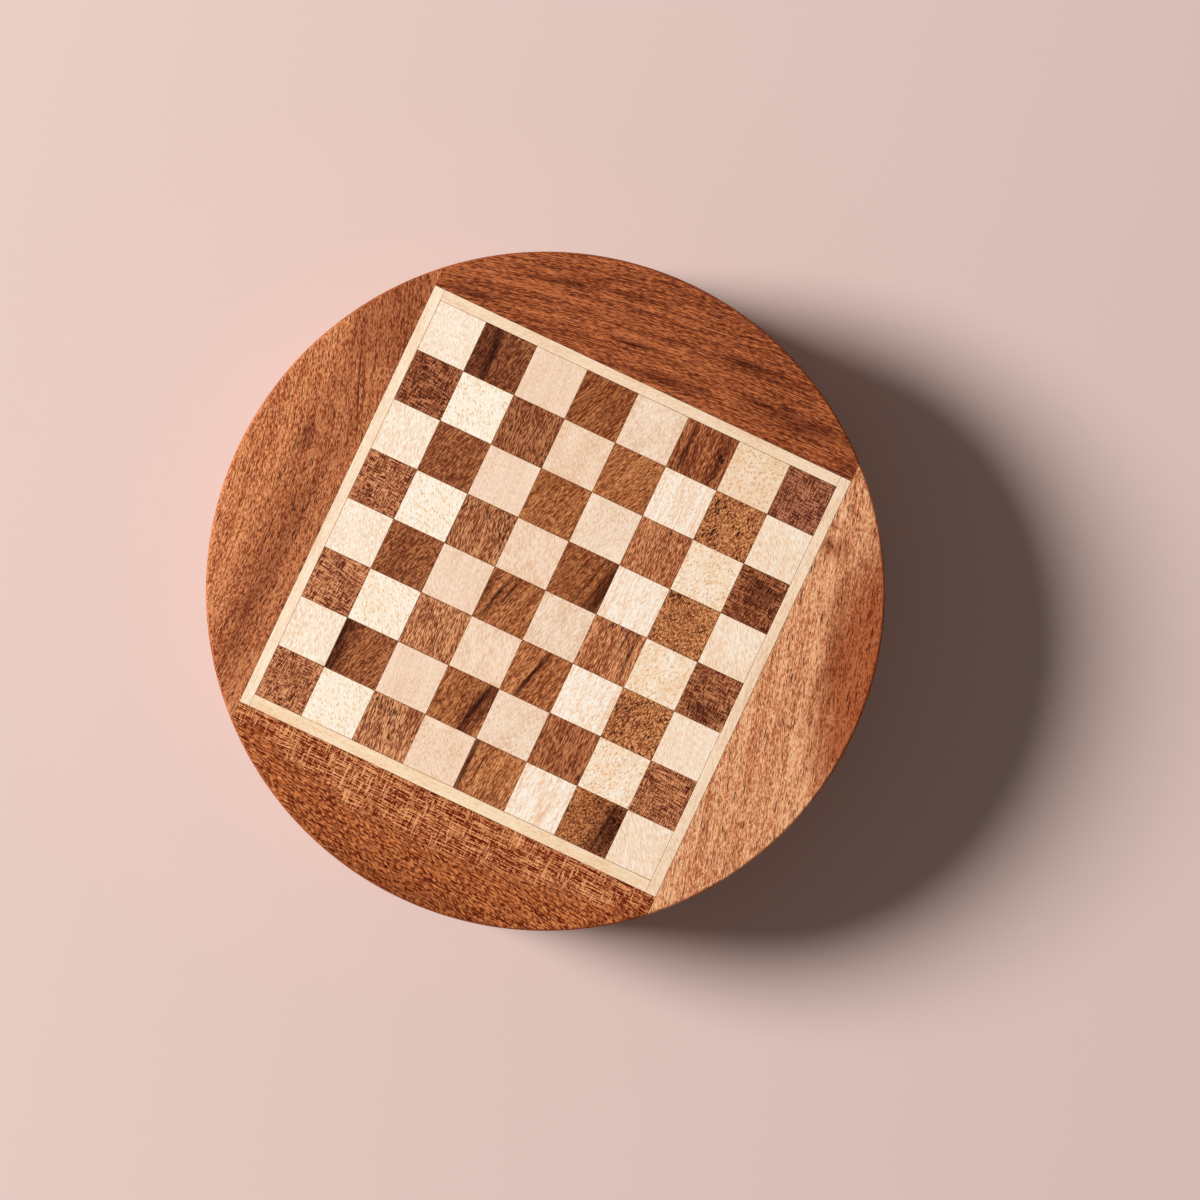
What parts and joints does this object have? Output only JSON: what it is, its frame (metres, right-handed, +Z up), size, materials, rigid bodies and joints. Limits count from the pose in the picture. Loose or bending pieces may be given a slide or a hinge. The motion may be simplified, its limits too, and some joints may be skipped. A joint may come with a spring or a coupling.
{
  "type": "magnetic checkers set",
  "caption": "Round wooden travel checkers set: a chequered lid swivels on a screw at the rim and uncovers two felt-lined wells that hold the magnetic checkers.",
  "frame": {"origin": "centre of the underside of the drum's felt, on the surface that the set stands on", "axes": "+Z up through the board; +X across the files of the board, to a player's right; +Y along the files, from the near edge to the pivot screw"},
  "size_m": [0.178, 0.178, 0.043],
  "materials": {
    "drum_wood": "clear satin lacquer over reddish rosewood",
    "rim_wood": "clear satin lacquer over reddish rosewood",
    "dark_inlay": "clear satin lacquer over rosewood strips",
    "light_inlay": "clear satin lacquer over boxwood strips",
    "border_inlay": "clear satin lacquer over boxwood strips",
    "light_checker_wood": "waxed boxwood, turned",
    "dark_checker_wood": "waxed rosewood, turned",
    "well_felt": "pressed wool felt",
    "foot_felt": "pressed wool felt",
    "sheet_steel": "rolled",
    "screw_steel": "zinc plated",
    "washer_brass": "stamped",
    "magnet_nickel": "nickel plated"
  },
  "bodies": {
    "base": {"base_drum": "drum_wood", "foot_felt": "foot_felt", "well_felts": "well_felt", "pivot_washers": "washer_brass"},
    "lid": {"lid_core": "drum_wood", "steel_sheet": "sheet_steel", "light_squares": "light_inlay", "dark_squares": "dark_inlay", "border_strips": "border_inlay", "side_rim_segments": "rim_wood", "end_rim_segments": "rim_wood", "pivot_screw": "screw_steel"},
    "light_checker_01": {"light_checker_01": "light_checker_wood", "light_checker_magnet_01": "magnet_nickel"},
    "light_checker_02": {"light_checker_02": "light_checker_wood", "light_checker_magnet_02": "magnet_nickel"},
    "light_checker_03": {"light_checker_03": "light_checker_wood", "light_checker_magnet_03": "magnet_nickel"},
    "light_checker_04": {"light_checker_04": "light_checker_wood", "light_checker_magnet_04": "magnet_nickel"},
    "light_checker_05": {"light_checker_05": "light_checker_wood", "light_checker_magnet_05": "magnet_nickel"},
    "light_checker_06": {"light_checker_06": "light_checker_wood", "light_checker_magnet_06": "magnet_nickel"},
    "light_checker_07": {"light_checker_07": "light_checker_wood", "light_checker_magnet_07": "magnet_nickel"},
    "light_checker_08": {"light_checker_08": "light_checker_wood", "light_checker_magnet_08": "magnet_nickel"},
    "light_checker_09": {"light_checker_09": "light_checker_wood", "light_checker_magnet_09": "magnet_nickel"},
    "light_checker_10": {"light_checker_10": "light_checker_wood", "light_checker_magnet_10": "magnet_nickel"},
    "light_checker_11": {"light_checker_11": "light_checker_wood", "light_checker_magnet_11": "magnet_nickel"},
    "light_checker_12": {"light_checker_12": "light_checker_wood", "light_checker_magnet_12": "magnet_nickel"},
    "dark_checker_01": {"dark_checker_01": "dark_checker_wood", "dark_checker_magnet_01": "magnet_nickel"},
    "dark_checker_02": {"dark_checker_02": "dark_checker_wood", "dark_checker_magnet_02": "magnet_nickel"},
    "dark_checker_03": {"dark_checker_03": "dark_checker_wood", "dark_checker_magnet_03": "magnet_nickel"},
    "dark_checker_04": {"dark_checker_04": "dark_checker_wood", "dark_checker_magnet_04": "magnet_nickel"},
    "dark_checker_05": {"dark_checker_05": "dark_checker_wood", "dark_checker_magnet_05": "magnet_nickel"},
    "dark_checker_06": {"dark_checker_06": "dark_checker_wood", "dark_checker_magnet_06": "magnet_nickel"},
    "dark_checker_07": {"dark_checker_07": "dark_checker_wood", "dark_checker_magnet_07": "magnet_nickel"},
    "dark_checker_08": {"dark_checker_08": "dark_checker_wood", "dark_checker_magnet_08": "magnet_nickel"},
    "dark_checker_09": {"dark_checker_09": "dark_checker_wood", "dark_checker_magnet_09": "magnet_nickel"},
    "dark_checker_10": {"dark_checker_10": "dark_checker_wood", "dark_checker_magnet_10": "magnet_nickel"},
    "dark_checker_11": {"dark_checker_11": "dark_checker_wood", "dark_checker_magnet_11": "magnet_nickel"},
    "dark_checker_12": {"dark_checker_12": "dark_checker_wood", "dark_checker_magnet_12": "magnet_nickel"}
  },
  "joints": [
    {"name": "board_swivel", "type": "hinge", "parent": "base", "child": "lid", "pos_m": [0, 0.08, 0.031], "axis": [0, 0, 1], "range_deg": [-180, 180]},
    {"name": "light_checker_01_lift", "type": "slide", "parent": "base", "child": "light_checker_01", "axis": [0, 0, 1], "range_m": [0, 0.013]},
    {"name": "light_checker_02_lift", "type": "slide", "parent": "base", "child": "light_checker_02", "axis": [0, 0, 1], "range_m": [0, 0.013]},
    {"name": "light_checker_03_lift", "type": "slide", "parent": "base", "child": "light_checker_03", "axis": [0, 0, 1], "range_m": [0, 0.013]},
    {"name": "light_checker_04_lift", "type": "slide", "parent": "base", "child": "light_checker_04", "axis": [0, 0, 1], "range_m": [0, 0.013]},
    {"name": "light_checker_05_lift", "type": "slide", "parent": "base", "child": "light_checker_05", "axis": [0, 0, 1], "range_m": [0, 0.013]},
    {"name": "light_checker_06_lift", "type": "slide", "parent": "base", "child": "light_checker_06", "axis": [0, 0, 1], "range_m": [0, 0.013]},
    {"name": "light_checker_07_lift", "type": "slide", "parent": "base", "child": "light_checker_07", "axis": [0, 0, 1], "range_m": [0, 0.013]},
    {"name": "light_checker_08_lift", "type": "slide", "parent": "base", "child": "light_checker_08", "axis": [0, 0, 1], "range_m": [0, 0.013]},
    {"name": "light_checker_09_lift", "type": "slide", "parent": "base", "child": "light_checker_09", "axis": [0, 0, 1], "range_m": [0, 0.013]},
    {"name": "light_checker_10_lift", "type": "slide", "parent": "base", "child": "light_checker_10", "axis": [0, 0, 1], "range_m": [0, 0.013]},
    {"name": "light_checker_11_lift", "type": "slide", "parent": "base", "child": "light_checker_11", "axis": [0, 0, 1], "range_m": [0, 0.013]},
    {"name": "light_checker_12_lift", "type": "slide", "parent": "base", "child": "light_checker_12", "axis": [0, 0, 1], "range_m": [0, 0.013]},
    {"name": "dark_checker_01_lift", "type": "slide", "parent": "base", "child": "dark_checker_01", "axis": [0, 0, 1], "range_m": [0, 0.013]},
    {"name": "dark_checker_02_lift", "type": "slide", "parent": "base", "child": "dark_checker_02", "axis": [0, 0, 1], "range_m": [0, 0.013]},
    {"name": "dark_checker_03_lift", "type": "slide", "parent": "base", "child": "dark_checker_03", "axis": [0, 0, 1], "range_m": [0, 0.013]},
    {"name": "dark_checker_04_lift", "type": "slide", "parent": "base", "child": "dark_checker_04", "axis": [0, 0, 1], "range_m": [0, 0.013]},
    {"name": "dark_checker_05_lift", "type": "slide", "parent": "base", "child": "dark_checker_05", "axis": [0, 0, 1], "range_m": [0, 0.013]},
    {"name": "dark_checker_06_lift", "type": "slide", "parent": "base", "child": "dark_checker_06", "axis": [0, 0, 1], "range_m": [0, 0.013]},
    {"name": "dark_checker_07_lift", "type": "slide", "parent": "base", "child": "dark_checker_07", "axis": [0, 0, 1], "range_m": [0, 0.013]},
    {"name": "dark_checker_08_lift", "type": "slide", "parent": "base", "child": "dark_checker_08", "axis": [0, 0, 1], "range_m": [0, 0.013]},
    {"name": "dark_checker_09_lift", "type": "slide", "parent": "base", "child": "dark_checker_09", "axis": [0, 0, 1], "range_m": [0, 0.013]},
    {"name": "dark_checker_10_lift", "type": "slide", "parent": "base", "child": "dark_checker_10", "axis": [0, 0, 1], "range_m": [0, 0.013]},
    {"name": "dark_checker_11_lift", "type": "slide", "parent": "base", "child": "dark_checker_11", "axis": [0, 0, 1], "range_m": [0, 0.013]},
    {"name": "dark_checker_12_lift", "type": "slide", "parent": "base", "child": "dark_checker_12", "axis": [0, 0, 1], "range_m": [0, 0.013]}
  ]
}
